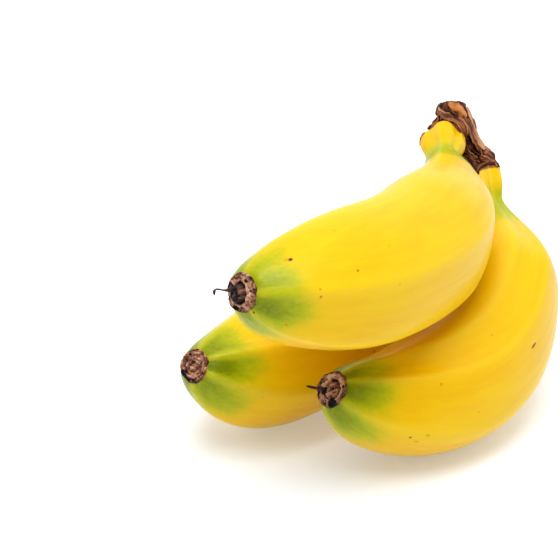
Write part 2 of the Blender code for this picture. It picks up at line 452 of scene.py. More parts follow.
class Nodes:
    """A short way to write a node material."""

    def __init__(self, name):
        self.material = bpy.data.materials.new(name)
        self.material.use_nodes = True
        self.tree = self.material.node_tree
        self.shader = self.tree.nodes["Principled BSDF"]

    def add(self, kind, inputs=None, **settings):
        """A node with its settings and inputs; an input is a constant or another node's output."""
        made = self.tree.nodes.new(kind)
        for key, value in settings.items():
            setattr(made, key, value)
        for key, value in (inputs or {}).items():
            self.put(made.inputs[key], value)
        return made

    def put(self, socket, value):
        if isinstance(value, bpy.types.NodeSocket):
            self.tree.links.new(value, socket)
        else:
            socket.default_value = value

    def give(self, name, value):
        """Sets an input of the surface itself."""
        self.put(self.shader.inputs[name], value)

    def shine(self, roughness, specular):
        """The gloss of the surface; roughness may vary over it."""
        self.give("Roughness", roughness)
        self.give("Specular IOR Level", specular)

    def value(self, name):
        """A number stored on the mesh."""
        return self.add("ShaderNodeAttribute", attribute_name=name).outputs["Fac"]

    def vector(self, name):
        """A vector stored on the mesh."""
        return self.add("ShaderNodeAttribute", attribute_name=name).outputs["Vector"]

    def maths(self, operation, first, second):
        return self.add("ShaderNodeMath", {0: first, 1: second}, operation=operation).outputs[0]

    def times(self, first, second):
        return self.maths("MULTIPLY", first, second)

    def plus(self, first, second):
        return self.maths("ADD", first, second)

    def span(self, value, low, high, to_low=0.0, to_high=1.0):
        """Value eased from the range low..high to the range to_low..to_high."""
        inputs = {"Value": value, 1: low, 2: high, 3: to_low, 4: to_high}
        node = self.add("ShaderNodeMapRange", inputs, interpolation_type="SMOOTHSTEP")
        return node.outputs["Result"]

    def stretch(self, vector, slowing):
        """A vector whose patterns are drawn out along its third way, more so the smaller the number."""
        inputs = {"Vector": vector, "Scale": (1.0, 1.0, slowing)}
        return self.add("ShaderNodeMapping", inputs).outputs["Vector"]

    def noise(self, vector, scale, detail, roughness):
        inputs = {"Vector": vector, "Scale": scale, "Detail": detail, "Roughness": roughness}
        return self.add("ShaderNodeTexNoise", inputs).outputs["Fac"]

    def pattern(self, vector, slowing, scale, detail, roughness):
        """Noise that is drawn out along the third way of a vector."""
        return self.noise(self.stretch(vector, slowing), scale, detail, roughness)

    def mix(self, share, first, second, blend="MIX"):
        """One colour turning into another."""
        node = self.add("ShaderNodeMix", data_type="RGBA", blend_type=blend)
        self.put(node.inputs["Factor"], share)
        for key, value in (("A", first), ("B", second)):
            socket = [s for s in node.inputs if s.name == key and s.type == "RGBA"][0]
            self.put(socket, value)
        return [s for s in node.outputs if s.type == "RGBA"][0]

    def ramp(self, value, stops):
        """Colours at stated places along a value."""
        node = self.add("ShaderNodeValToRGB", {"Fac": value})
        elements = node.color_ramp.elements
        while len(elements) < len(stops):
            elements.new(0.5)
        for element, (place, colour) in zip(elements, stops):
            element.position = place
            element.color = colour
        return node.outputs["Color"]

    def bump(self, height, strength, distance):
        inputs = {"Height": height, "Strength": strength, "Distance": distance * MM}
        self.give("Normal", self.add("ShaderNodeBump", inputs).outputs["Normal"])


# Small scars, each by the pixel of the photograph where it shows: half-width, stretch along the fruit,
# strength.
SCARS = {
    "top": {
        (290.3, 259.3): (0.75, 1.4, 0.95),
        (286.0, 259.8): (0.9, 2.0, 0.35),
        (358.5, 271.0): (0.55, 1.2, 0.6),
        (321.0, 290.0): (0.5, 1.0, 0.45),
        (320.5, 297.5): (0.6, 1.0, 0.55),
        (254.5, 312.5): (0.45, 3.0, 0.8),
        (285.5, 325.5): (0.45, 2.5, 0.5),
        (389.0, 245.0): (0.5, 1.0, 0.35),
        (334.0, 230.0): (0.5, 2.0, 0.25),
        (399.5, 283.5): (0.4, 1.0, 0.35),
    },
    "right": {
        (533.2, 345.5): (0.55, 3.6, 1.0),
        (411.2, 437.0): (0.55, 1.0, 0.75),
        (417.0, 441.5): (0.8, 1.4, 0.4),
        (442.0, 385.0): (0.6, 1.2, 0.45),
        (433.0, 338.0): (0.55, 1.2, 0.4),
        (478.0, 412.0): (0.45, 1.0, 0.45),
        (405.5, 347.5): (0.5, 1.2, 0.4),
        (492.0, 336.0): (0.5, 1.2, 0.35),
    },
    "left": {
        (263.0, 398.0): (0.5, 1.2, 0.3),
        (300.0, 404.0): (0.45, 1.2, 0.3),
    },
}


def scar_shades(n, straight, scars):
    """The strongest of the scars at each point, from their places on the straightened fruit."""
    strongest = None
    for place, (size, stretch, strength) in scars:
        here = n.stretch(straight, 1.0 / stretch)
        there = tuple(np.array(place) * (1.0, 1.0, 1.0 / stretch) * MM)
        away = n.add("ShaderNodeVectorMath", {0: here, 1: there}, operation="DISTANCE").outputs["Value"]
        shade = n.span(away, size * MM, size * MM * 0.35, 0.0, strength)
        strongest = shade if strongest is None else n.maths("MAXIMUM", strongest, shade)
    return strongest


# Patterns of the peel: how far they are drawn out along the fruit, scale, detail and roughness.
STREAKS = (0.07, 520.0, 4.0, 0.6)
CLOUDS = (0.45, 85.0, 3.0, 0.55)
SUNLIT_PATCHES = (0.3, 34.0, 2.0, 0.5)
THREADS = (0.05, 1300.0, 3.0, 0.6)
PORES = (0.4, 2400.0, 3.0, 0.5)
FLESH_GLOW = 0.06
FLESH_GLOW_COLOUR = (1.0, 0.55, 0.12)
FLESH_GLOW_DEPTH = 2.0
RIPE_STOPS = (
    (0.36, srgb(252, 209, 12)),
    (0.47, srgb(251, 205, 5)),
    (0.56, srgb(250, 200, 2)),
    (0.66, srgb(248, 195, 0)),
)
UNRIPE_STOPS = (
    (0.00, srgb(246, 204, 4)),
    (0.25, srgb(220, 202, 3)),
    (0.50, srgb(188, 190, 0)),
    (0.75, srgb(158, 168, 0)),
    (1.00, srgb(124, 138, 0)),
)
SUNLIT_YELLOW = srgb(253, 216, 30)
# Paler yellow and green laid along the ridges: a painted highlight.
RIDGE_HIGHLIGHT_YELLOW = srgb(255, 220, 54)
RIDGE_HIGHLIGHT_GREEN = srgb(206, 204, 60)
SPECK_BROWN = srgb(196, 128, 14)
SCAR_EDGE = srgb(222, 150, 18)
SCAR_BROWN = srgb(122, 58, 18)
STAIN_EDGE = srgb(190, 134, 40)
STAIN_BROWN = srgb(86, 46, 22)


def peel_material(name, scars):
    """Yellow peel, greener near both ends, with a painted highlight on its ridges, soft streaks, specks and
    scars.
    """
    n = Nodes(name)
    straight = n.vector("straight")
    green = n.value("green")
    ridge = n.value("ridge")
    streaks = n.pattern(straight, *STREAKS)
    clouds = n.pattern(straight, *CLOUDS)
    wide = n.pattern(straight, *SUNLIT_PATCHES)
    ripe = n.ramp(n.plus(n.times(clouds, 0.55), n.times(streaks, 0.45)), RIPE_STOPS)
    ripe = n.mix(n.span(wide, 0.50, 0.72, 0.0, 0.35), ripe, SUNLIT_YELLOW)
    # The ridges are painted paler: a painted highlight.
    crest = n.maths("POWER", ridge, 5.0)
    ripe = n.mix(n.times(crest, 0.35), ripe, RIDGE_HIGHLIGHT_YELLOW)
    threads = n.pattern(straight, *THREADS)
    wander = n.maths("SUBTRACT", n.plus(n.times(streaks, 0.35), n.times(threads, 0.35)), 0.35)
    depth = n.plus(green, n.times(wander, n.span(green, 0.0, 0.6)))
    unripe = n.ramp(depth, UNRIPE_STOPS)
    green_with_ridge_highlight = n.mix(n.times(n.times(ridge, ridge), 0.35), unripe, RIDGE_HIGHLIGHT_GREEN)
    colour = n.mix(n.span(depth, 0.0, 0.5), ripe, green_with_ridge_highlight)
    specks = n.add("ShaderNodeTexVoronoi", {"Vector": n.stretch(straight, 0.7), "Scale": 105.0})
    chosen = n.span(specks.outputs["Color"], 0.70, 0.76)
    dot = n.times(n.span(specks.outputs["Distance"], 0.065, 0.03), chosen)
    colour = n.mix(n.times(dot, 0.5), colour, SPECK_BROWN)
    scar = scar_shades(n, straight, scars)
    colour = n.mix(n.span(scar, 0.0, 0.55, 0.0, 0.75), colour, SCAR_EDGE)
    colour = n.mix(n.span(scar, 0.35, 0.9), colour, SCAR_BROWN)
    stain = n.plus(n.value("stain"), n.times(wander, 0.9))
    colour = n.mix(n.span(stain, 0.25, 0.6), colour, STAIN_EDGE)
    colour = n.mix(n.span(stain, 0.55, 0.85), colour, STAIN_BROWN)
    n.give("Base Color", n.mix(1.0, colour, LIGHT_GIVEN_BACK, "MULTIPLY"))
    n.shine(n.span(streaks, 0.3, 0.7, 0.28, 0.35), 0.25)
    n.give("Subsurface Weight", FLESH_GLOW)
    n.give("Subsurface Radius", FLESH_GLOW_COLOUR)
    n.give("Subsurface Scale", FLESH_GLOW_DEPTH * MM)
    pores = n.pattern(straight, *PORES)
    relief = n.plus(n.times(pores, 0.35), n.times(streaks, 0.65))
    n.bump(n.maths("SUBTRACT", relief, n.times(scar, 0.8)), 0.14, 0.2)
    return n.material


def dry_material(name, stops, scale, stretch, bump):
    """Dry plant matter: a stored shade from dark to light, its own tone with painted shade, broken up by
    fibres along the stored grain.
    """
    n = Nodes(name)
    grain = n.vector("grain")
    fibres = n.pattern(grain, stretch, scale, 5.0, 0.65)
    grit = n.noise(grain, scale * 1.7, 4.0, 0.6)
    shade = n.plus(n.value("shade"), n.times(n.maths("SUBTRACT", fibres, 0.5), 1.1))
    shade = n.plus(shade, n.times(n.maths("SUBTRACT", grit, 0.5), 0.5))
    n.give("Base Color", n.mix(1.0, n.ramp(shade, stops), LIGHT_GIVEN_BACK, "MULTIPLY"))
    n.shine(n.span(fibres, 0.3, 0.7, 0.62, 0.85), 0.35)
    n.bump(n.plus(fibres, n.times(grit, 0.5)), bump, 0.4)
    return n.material


BARK_STOPS = (
    (0.05, srgb(34, 20, 16)),
    (0.26, srgb(78, 44, 30)),
    (0.46, srgb(132, 78, 50)),
    (0.68, srgb(182, 120, 78)),
    (0.92, srgb(226, 178, 138)),
)
FLAKE_STOPS = (
    (0.05, srgb(92, 48, 26)),
    (0.30, srgb(168, 98, 50)),
    (0.55, srgb(212, 136, 72)),
    (0.85, srgb(236, 172, 108)),
)
CORK_STOPS = (
    (0.02, srgb(28, 22, 22)),
    (0.20, srgb(78, 50, 42)),
    (0.42, srgb(144, 96, 74)),
    (0.66, srgb(196, 144, 112)),
    (0.90, srgb(236, 196, 164)),
)


# The peel of each fruit.

def peel_relief(name, finger, along, around, straight, seed):
    """How far the fine peel stands out from the plain loft, in millimetres."""
    relief = np.minimum(soft_noise(straight, DENT_SCALE, seed), DENT_CEILING) * DENT_HEIGHT
    relief += CREST * (ridge_height(finger, around) ** CREST_SHARPNESS - CREST_BASE)
    ring = np.stack([np.cos(around), np.sin(around), along], axis=-1)
    folds = soft_noise(ring * WRINKLE_GRAIN, WRINKLE_SCALE, seed + 5)
    near_tip = np.exp(-(((finger["length"] - along) / WRINKLE_REACH) ** 2))
    near_neck = np.exp(-((along / WRINKLE_REACH) ** 2))
    relief += folds * WRINKLE_HEIGHT * (near_tip + NECK_FOLDS * near_neck)
    if name == "top":
        crest = math.radians(finger["ridges"][3])
        crease_at = CREASE_AT - CREASE_SWING * np.cos(around - crest)
        relief -= CREASE_DEPTH * np.exp(-(((along - crease_at) / CREASE_WIDTH) ** 2))
    return relief


def green_amount(finger, along, around, wander):
    """How green the peel is: in the faces near the flower end, less on their ridges as a painted highlight,
    and in a band on the neck.
    """
    crests = np.radians(finger["ridges"])
    middles = (crests + np.radians([*finger["ridges"][1:], finger["ridges"][0] + 360.0])) / 2
    weight = np.interp(around, middles, finger["greens"], period=FULL_TURN)
    to_tip = finger["length"] + finger["run"] - along
    least, by_face = GREEN_REACH_BY_FACE
    reach = finger["green_reach"] * (least + by_face * weight) + wander * GREEN_WANDER
    least, by_face = GREEN_BY_FACE
    tip = smooth_step((reach + GREEN_LEAD - to_tip) / GREEN_FADE) * (least + by_face * weight)
    # Less green on the ridges: a painted highlight.
    tip = tip * (1.0 - GREEN_LOST_TO_RIDGE_HIGHLIGHT * ridge_height(finger, around) ** 2)
    middle, width, strength = finger["neck_green"]
    band = np.exp(-(((along - middle - wander * NECK_GREEN_WANDER) / width) ** 2))
    return np.maximum(tip, strength * band)


def peel_mesh(name, finger, seed):
    """The fine skin of one fruit, with its straightened coordinates and tints stored for the material."""
    even = np.linspace(0.0, 1.0, PEEL_STATIONS)
    body = even - PEEL_CROWDING * np.sin(FULL_TURN * even)
    root = -finger["root"]
    run = finger["run"]
    rings = [(0.0, size, root + shift) for size, shift in reversed(NECK_END)]
    rings += [(0.0, 1.0, root)] if root else []
    rings += [(place, 1.0, run * smooth_step((place - RUN_FROM) / (1.0 - RUN_FROM))) for place in body]
    rings += [(1.0, size, run + shift) for size, shift in TIP_END]
    share, size, shift = np.array(rings).T
    directions = growth_directions(finger, share)
    sides, normals = carried_frames(directions)
    centres = centreline(finger, share) + directions * shift[:, None]
    around = angles_round(PEEL_SIDES)
    along = np.repeat((share * finger["length"] + shift)[:, None], PEEL_SIDES, axis=1)
    around_all = np.repeat(around[None, :], len(share), axis=0)
    radii = (radius_along(finger, share) - PEEL_INSET)[:, None]
    straight = np.stack([np.cos(around_all) * radii, np.sin(around_all) * radii, along], axis=-1)
    relief = peel_relief(name, finger, along, around_all, straight, seed)
    factors = section_factors(finger, share[:, None], around_all)
    rounding = TIP_ROUNDING_SHARE * np.exp(-(((finger["length"] - along) / TIP_ROUNDING) ** 2))
    factors = factors + (1.0 - factors) * rounding
    reach = (radii * factors + relief) * size[:, None]
    roll = np.radians(finger["turn"] + finger["twist"] * (share - 0.5))
    angles = around_all + roll[:, None]
    outward = np.cos(angles)[..., None] * sides[:, None] + np.sin(angles)[..., None] * normals[:, None]
    rows = centres[:, None] + reach[..., None] * outward
    if name == "top":
        to_right = smooth_step(outward[..., 0] / NECK_PINCH_SIDE)
        at_neck = np.exp(-(((along - NECK_PINCH_AT) / NECK_PINCH_LENGTH) ** 2))
        rows[..., 0] -= NECK_PINCH * to_right * at_neck
    rows[..., 2] = np.maximum(rows[..., 2], FLOOR_CLEARANCE)
    mesh = grid_mesh("peel_" + name, to_row(rows))
    wander = soft_noise(straight * WANDER_GRAIN, WANDER_SCALE, seed + 2)
    rim = smooth_step((finger["stain"] + wander * STAIN_WANDER - along) / (1.0 + finger["stain"]))
    strength, start, fade = TIP_RIM
    tip_rim = strength * smooth_step((along - finger["length"] - run - start) / fade)
    give_attribute(mesh, "green", green_amount(finger, along, around_all, wander))
    give_attribute(mesh, "ridge", ridge_height(finger, around_all))
    give_attribute(mesh, "stain", np.maximum(rim, tip_rim))
    give_attribute(mesh, "straight", straight * MM)
    return mesh, straight.reshape(-1, 3)


def straight_places(mesh, straight, pixels):
    """The straightened coordinates of the peel seen at each pixel."""
    tree = tree_of(mesh)
    points = points_of(mesh)
    found = []
    for pixel in pixels:
        place, _ = seen_at(tree, pixel)
        found.append(straight[np.argmin(np.linalg.norm(points - place, axis=1))])
    return found


# The corky remains of the flower at the end of each fruit. Heights and shades are given from the rim
# inwards by share of the radius; the middle stub may sit off the centre, along the two ways across the
# disc; "lean" raises the side away from the viewer; "rings" is the height of the growth rings.
FLOWER_ENDS = {
    "top": {
        "radius": 5.2,
        "heights": ((1.0, -0.7), (0.995, 0.1), (0.95, 0.75), (0.86, 0.95), (0.74, 0.9), (0.62, 1.15),
                    (0.56, 1.1), (0.51, 0.8), (0.47, 1.5), (0.42, 2.5), (0.28, 3.1), (0.0, 3.2)),
        "shades": ((1.0, 0.34), (0.90, 0.46), (0.80, 0.60), (0.64, 0.66), (0.56, 0.50), (0.50, -0.04),
                   (0.42, 0.22), (0.36, 0.10), (0.30, -0.06), (0.15, 0.06), (0.0, -0.02)),
        "stub": (-0.02, 0.08), "lean": 0.0, "rings": 0.10,
    },
    "right": {
        "radius": 5.2,
        "heights": ((1.0, -0.7), (0.99, 0.2), (0.93, 0.8), (0.84, 0.85), (0.70, 1.05), (0.56, 1.1),
                    (0.48, 0.75), (0.42, 1.1), (0.30, 1.55), (0.0, 1.7)),
        "shades": ((1.0, 0.36), (0.90, 0.50), (0.78, 0.78), (0.60, 0.84), (0.50, 0.30), (0.42, 0.40),
                   (0.30, 0.60), (0.0, 0.52)),
        "stub": (-0.22, 0.04), "lean": 0.22, "rings": 0.12,
    },
    "left": {
        "radius": 4.95,
        "heights": ((1.0, -0.7), (0.99, 0.2), (0.92, 0.8), (0.82, 0.7), (0.72, 1.0), (0.60, 0.8),
                    (0.48, 1.1), (0.34, 0.9), (0.18, 1.25), (0.0, 1.2)),
        "shades": ((1.0, 0.30), (0.90, 0.50), (0.78, 0.38), (0.68, 0.60), (0.56, 0.36), (0.44, 0.56),
                   (0.30, 0.40), (0.15, 0.50), (0.0, 0.42)),
        "stub": (-0.10, 0.0), "lean": 0.12, "rings": 0.12,
    },
}
# Grit, wandering rings and pits of the cork: their scales, depths and painted shade, darker where it sinks.
CORK_RINGS = 90
CORK_SIDES = 160
CORK_SEED = 20.0
CORK_MIDDLE = 0.004
CORK_GRIT = 0.42
CORK_GRIT_SCALE = 0.60
CORK_GRIT_PAINTED_SHADE = 0.45
CORK_EDGE = 0.06
CORK_LEAN_EDGE = 0.15
CORK_WARP = 0.10
CORK_WARP_SCALE = 0.30
CORK_WHORLS = 4.5
CORK_WHORL_WANDER = 0.6
CORK_WHORL_PAINTED_SHADE = 0.6
# Lumps of the outline: scale and share of the radius.
CORK_LUMPS = ((0.5, 0.04), (1.4, 0.02))
PIT_SCALE = 0.95
PIT_SIZE = 0.42
PIT_EDGE = 0.25
PIT_DEPTH = 0.35
PIT_PAINTED_SHADE = 0.32
SPOT_SHADE = 0.9
SPOT_SPREAD = 1.25
SPOT_EDGE = 0.5
CORK_PITS = 0.75
CORK_SEAT = 0.3

# Charred spots on the flower ends: pixel of the photograph and radius.
CORK_SPOTS = {
    "top": {(231.0, 286.5): 1.1, (236.0, 308.5): 1.0, (246.0, 281.0): 0.45, (250.5, 291.0): 0.3},
    "right": {(324.8, 391.0): 1.05, (332.3, 403.2): 1.3, (343.0, 386.5): 0.4, (343.5, 397.0): 0.4},
    "left": {(184.0, 374.5): 1.3, (188.5, 380.5): 0.8, (190.0, 354.0): 0.4},
}


def cork_pits(flat, seed):
    """Between 0 and 1: how deep a point lies in one of the small pits of the cork."""
    shift = Vector((seed, 0.0, 0.0))
    points = [Vector(point) * PIT_SCALE + shift for point in flat.reshape(-1, 3)]
    cells = np.array([noise.voronoi(point)[0][0] for point in points])
    return smooth_step((PIT_SIZE - cells) / PIT_EDGE).reshape(flat.shape[:-1])


def flower_end_mesh(name, finger, seed):
    """A round of cork seen as heights over a disc, rough and ringed, seated on the end of the fruit."""
    form = FLOWER_ENDS[name]
    radius = form["radius"]
    end = np.array([1.0])
    direction = growth_directions(finger, end)[0]
    middle = centreline(finger, end)[0] + direction * (finger["run"] + CORK_SEAT)
    away_from_viewer = VIEW_AHEAD - direction * (VIEW_AHEAD @ direction)
    side = unit(away_from_viewer)
    normal = np.cross(direction, side)
    share = np.linspace(1.0, CORK_MIDDLE, CORK_RINGS)
    around = angles_round(CORK_SIDES)
    share_all, around_all = np.meshgrid(share, around, indexing="ij")
    flat = np.stack([np.cos(around_all), np.sin(around_all), np.zeros_like(around_all)], axis=-1)
    flat = flat * share_all[..., None] * radius
    shift = np.array((*form["stub"], 0.0)) * radius * (1.0 - share_all[..., None] ** 2)
    from_stub = np.linalg.norm(flat - shift, axis=-1) / radius
    warped = np.clip(from_stub + CORK_WARP * soft_noise(flat, CORK_WARP_SCALE, seed), 0.0, 1.0)
    places, heights = np.array(form["heights"][::-1]).T
    shade_places, shades = np.array(form["shades"][::-1]).T
    fade = smooth_step((1.0 - share_all) / CORK_EDGE)
    grit = rough_noise(flat, CORK_GRIT_SCALE, seed + 3)
    pits = cork_pits(flat, seed)
    whorl = np.sin((warped * CORK_WHORLS + around_all / FULL_TURN + CORK_WHORL_WANDER * grit) * FULL_TURN)
    height = np.interp(warped, places, heights)
    height += form["lean"] * flat[..., 0] * smooth_step((1.0 - share_all) / CORK_LEAN_EDGE)
    height += fade * (CORK_GRIT * grit + form["rings"] * whorl - PIT_DEPTH * CORK_PITS * pits)
    lumpy = 1.0
    for number, (scale, size) in enumerate(CORK_LUMPS):
        lumpy = lumpy + size * soft_noise(flat, scale, seed + 7 + number)
    rows = middle + flat[..., :1] * lumpy[..., None] * side + flat[..., 1:2] * lumpy[..., None] * normal
    rows = rows + height[..., None] * direction
    shade = np.interp(warped, shade_places, shades)
    # Raised grit and rings paler, pits darker: painted shade.
    shade = shade + CORK_GRIT_PAINTED_SHADE * grit + CORK_WHORL_PAINTED_SHADE * form["rings"] * whorl
    shade = shade - PIT_PAINTED_SHADE * CORK_PITS * pits
    mesh = grid_mesh("flower_cork_" + name, to_row(rows))
    tree = tree_of(mesh)
    for pixel, size in CORK_SPOTS[name].items():
        spot, _ = seen_at(tree, pixel)
        away = np.linalg.norm(rows - spot, axis=-1)
        shade -= SPOT_SHADE * smooth_step((size * SPOT_SPREAD - away) / (size * SPOT_EDGE))
    give_attribute(mesh, "shade", shade)
    give_attribute(mesh, "grain", flat * MM)
    return mesh


# The withered styles: pixels of the photograph that they pass, thickness by share of the length, and shade.
# The seat is how far past the end of the fruit the plane lies that they are drawn in.
STYLES = {
    "top": {
        "path": ((232.5, 288.0), (228.0, 290.0), (224.0, 290.2), (219.5, 289.4), (215.8, 289.4),
                 (214.2, 291.6), (214.4, 295.2)),
        "thickness": ((0.0, 1.7), (0.18, 1.1), (0.4, 0.45), (0.75, 0.40), (0.85, 0.8), (1.0, 0.35)),
        "shade": 0.22,
    },
    "right": {
        "path": ((322.5, 389.0), (318.0, 388.2), (314.5, 387.8), (311.0, 387.0), (306.5, 386.2)),
        "thickness": ((0.0, 1.5), (0.25, 0.9), (0.5, 0.7), (0.8, 0.75), (1.0, 0.4)),
        "shade": 0.18,
    },
}
STYLE_SEAT = 1.2
STYLE_STEPS = 48
STYLE_KNOBS = 0.35
STYLE_SEED = 3.0
TUBE_SIDES = 12
KNOB_SCALE = 1.3


def tube_mesh(name, line, thickness, shade, knobbly, seed):
    """A round stem through points, of a thickness that changes along it, with a knobbly skin."""
    directions = unit(np.gradient(line, axis=0))
    start = np.cross(directions[0], (0.3, 0.2, 1.0))
    sides = []
    for direction in directions:
        start = unit(start - direction * (start @ direction))
        sides.append(start)
    sides = np.array(sides)
    normals = np.cross(directions, sides)
    angles = angles_round(TUBE_SIDES)[None, :, None]
    outward = np.cos(angles) * sides[:, None] + np.sin(angles) * normals[:, None]
    knobs = 1.0 + knobbly * soft_noise(line[:, None] + outward * 0.6, KNOB_SCALE, seed)
    rows = line[:, None] + outward * (np.asarray(thickness) / 2)[:, None, None] * knobs[..., None]
    mesh = grid_mesh(name, to_row(rows))
    grain = outward * 0.5
    grain[..., 2] = walked_along(line)[:, None]
    give_attribute(mesh, "grain", (grain + seed * 9.0) * MM)
    give_attribute(mesh, "shade", np.full(len(mesh.vertices), shade))
    return mesh


def style_mesh(name, finger):
    """The withered style in front of a flower end, drawn in a plane that faces the viewer."""
    form = STYLES[name]
    end = np.array([1.0])
    tip = centreline(finger, end)[0] + growth_directions(finger, end)[0] * (finger["run"] + STYLE_SEAT)
    line = []
    for pixel in smooth_line(form["path"], STYLE_STEPS):
        start, direction = photo_ray(pixel)
        reach = (tip - start) @ VIEW_AHEAD / (direction @ VIEW_AHEAD)
        line.append(start + direction * reach)
    places, sizes = np.array(form["thickness"]).T
    thickness = np.interp(np.linspace(0.0, 1.0, len(line)), places, sizes)
    return tube_mesh("style_" + name, np.array(line), thickness, form["shade"], STYLE_KNOBS, STYLE_SEED)


# The dry crown. The lumps are those of its solid, but for the one over the right neck, which lies further
# back and higher here. The knife cut parted the crown from the stalk.
CROWN_LUMPS = {
    "cut_end": ((25.0, 60.0, 76.5), (4.3, 6.0, 7.0)),
    "behind_top_neck": ((23.6, 60.0, 66.2), (6.4, 7.5, 6.8)),
    "over_top_neck": ((26.6, 56.0, 71.0), (5.0, 5.0, 4.5)),
    "middle": ((27.8, 60.0, 68.5), (4.6, 5.5, 6.0)),
    "lower_middle": ((30.2, 59.0, 62.3), (5.2, 5.5, 6.0)),
    "heart": ((27.5, 63.0, 64.5), (6.0, 6.5, 6.5)),
    "over_right_neck": ((34.2, 58.4, 60.0), (5.1, 6.0, 4.6)),
    "over_left_neck": ((28.2, 69.0, 63.0), (6.6, 6.4, 6.4)),
    "bark_tip": ((30.6, 56.0, 58.0), (3.6, 4.0, 5.0)),
}
CUT_POINT = np.array((24.3, 58.0, 78.8))
CUT_LEAN = 28.0
CROWN_BACK = 74.5
CROWN_TOP = 81.4
CROWN_EASING = 1.6
CROWN_VOXEL = 0.42
CROWN_SHRINK = 0.35
CROWN_SOFTENING = 12
FIBRE_WAY = np.array((0.36, -0.12, -0.92))
FURROW_GRAIN = (1.0, 1.0, 0.16)
FURROW_SCALE = 0.38
FURROW_CEILING = 0.35
FURROW_PAINTED_SHADE = 0.55
THREAD_GRAIN = (1.0, 1.0, 0.12)
THREAD_SCALE = 1.5
THREAD_DEPTH = 0.22
THREAD_PAINTED_SHADE = 0.25
CORE_SHADE = 0.36
HOLLOW_PAINTED_SHADE = 0.22
CUT_ROUGHNESS = 0.25
CUT_SHADE = 0.62
CUT_DOTS = 0.5
# Hollows in the crown: pixel of the photograph, radius and depth; they are darkened with painted shade.
CROWN_HOLLOWS = {
    (471.0, 157.0): (3.4, 2.2),
    (476.0, 150.0): (1.3, 1.3),
    (479.0, 166.0): (2.0, 1.6),
    (466.0, 137.0): (1.5, 1.0),
}


def fused_lumps():
    """The lumps of the crown as one finely meshed skin, in metres."""
    builder = bmesh.new()
    for centre, half in CROWN_LUMPS.values():
        shape = Matrix.LocRotScale(Vector(to_row(centre)), None, Vector(half) * MM)
        bmesh.ops.create_icosphere(builder, subdivisions=5, radius=1.0, matrix=shape)
    mesh = bpy.data.meshes.new("crown_lumps")
    builder.to_mesh(mesh)
    builder.free()
    lumps = put_in_scene("crown_lumps", mesh)
    remesh = lumps.modifiers.new("fuse", "REMESH")
    remesh.mode = "VOXEL"
    remesh.voxel_size = CROWN_VOXEL * MM
    soften = lumps.modifiers.new("soften", "SMOOTH")
    soften.iterations = CROWN_SOFTENING
    graph = bpy.context.evaluated_depsgraph_get()
    fused = bpy.data.meshes.new_from_object(lumps.evaluated_get(graph))
    bpy.data.objects.remove(lumps)
    return fused


def crown_grain(points):
    """Points in terms of the fibres: two ways across them and one along."""
    way = unit(FIBRE_WAY)
    across = unit(np.cross(way, (0.0, 1.0, 0.0)))
    other = np.cross(way, across)
    return np.stack([points @ across, points @ other, points @ way], axis=-1)


def crown_core_mesh():
    """The body of the crown: furrowed along its fibres, hollowed where it shrank, cut off at the top;
    painted shade darkens its grooves and hollows.
    """
    mesh = fused_lumps()
    tree = tree_of(mesh)
    hollows = [(seen_at(tree, pixel)[0], *form) for pixel, form in CROWN_HOLLOWS.items()]
    points = points_of(mesh)
    normals = np.array([vertex.normal for vertex in mesh.vertices])
    grain = crown_grain(points)
    furrows = rough_noise(grain * FURROW_GRAIN, FURROW_SCALE, 1)
    threads = soft_noise(grain * THREAD_GRAIN, THREAD_SCALE, 4)
    push = -CROWN_SHRINK + np.minimum(furrows, FURROW_CEILING) + THREAD_DEPTH * threads
    # Grooves and hollows darker, crests and threads paler: painted shade.
    shade = CORE_SHADE + FURROW_PAINTED_SHADE * furrows + THREAD_PAINTED_SHADE * threads
    for place, size, depth in hollows:
        near = np.exp(-((np.linalg.norm(points - place, axis=1) / size) ** 2))
        push -= depth * near
        shade -= HOLLOW_PAINTED_SHADE * near
    points = points + normals * push[:, None]
    lean = math.radians(CUT_LEAN)
    cut_way = np.array((0.0, math.sin(lean), math.cos(lean)))
    rough_cut = CUT_ROUGHNESS * rough_noise(points, 0.9, 6)
    over = (points - CUT_POINT) @ cut_way - rough_cut
    cut_off = over > 0
    points[cut_off] -= over[cut_off, None] * cut_way
    dots = soft_noise(points, 1.7, 9)
    shade = np.where(cut_off, CUT_SHADE + CUT_DOTS * dots, shade)
    mesh.vertices.foreach_set("co", to_row(inside_crown_box(points)).ravel())
    mesh.update()
    give_attribute(mesh, "shade", shade)
    give_attribute(mesh, "grain", np.where(cut_off[:, None], points, grain) * MM)
    return mesh


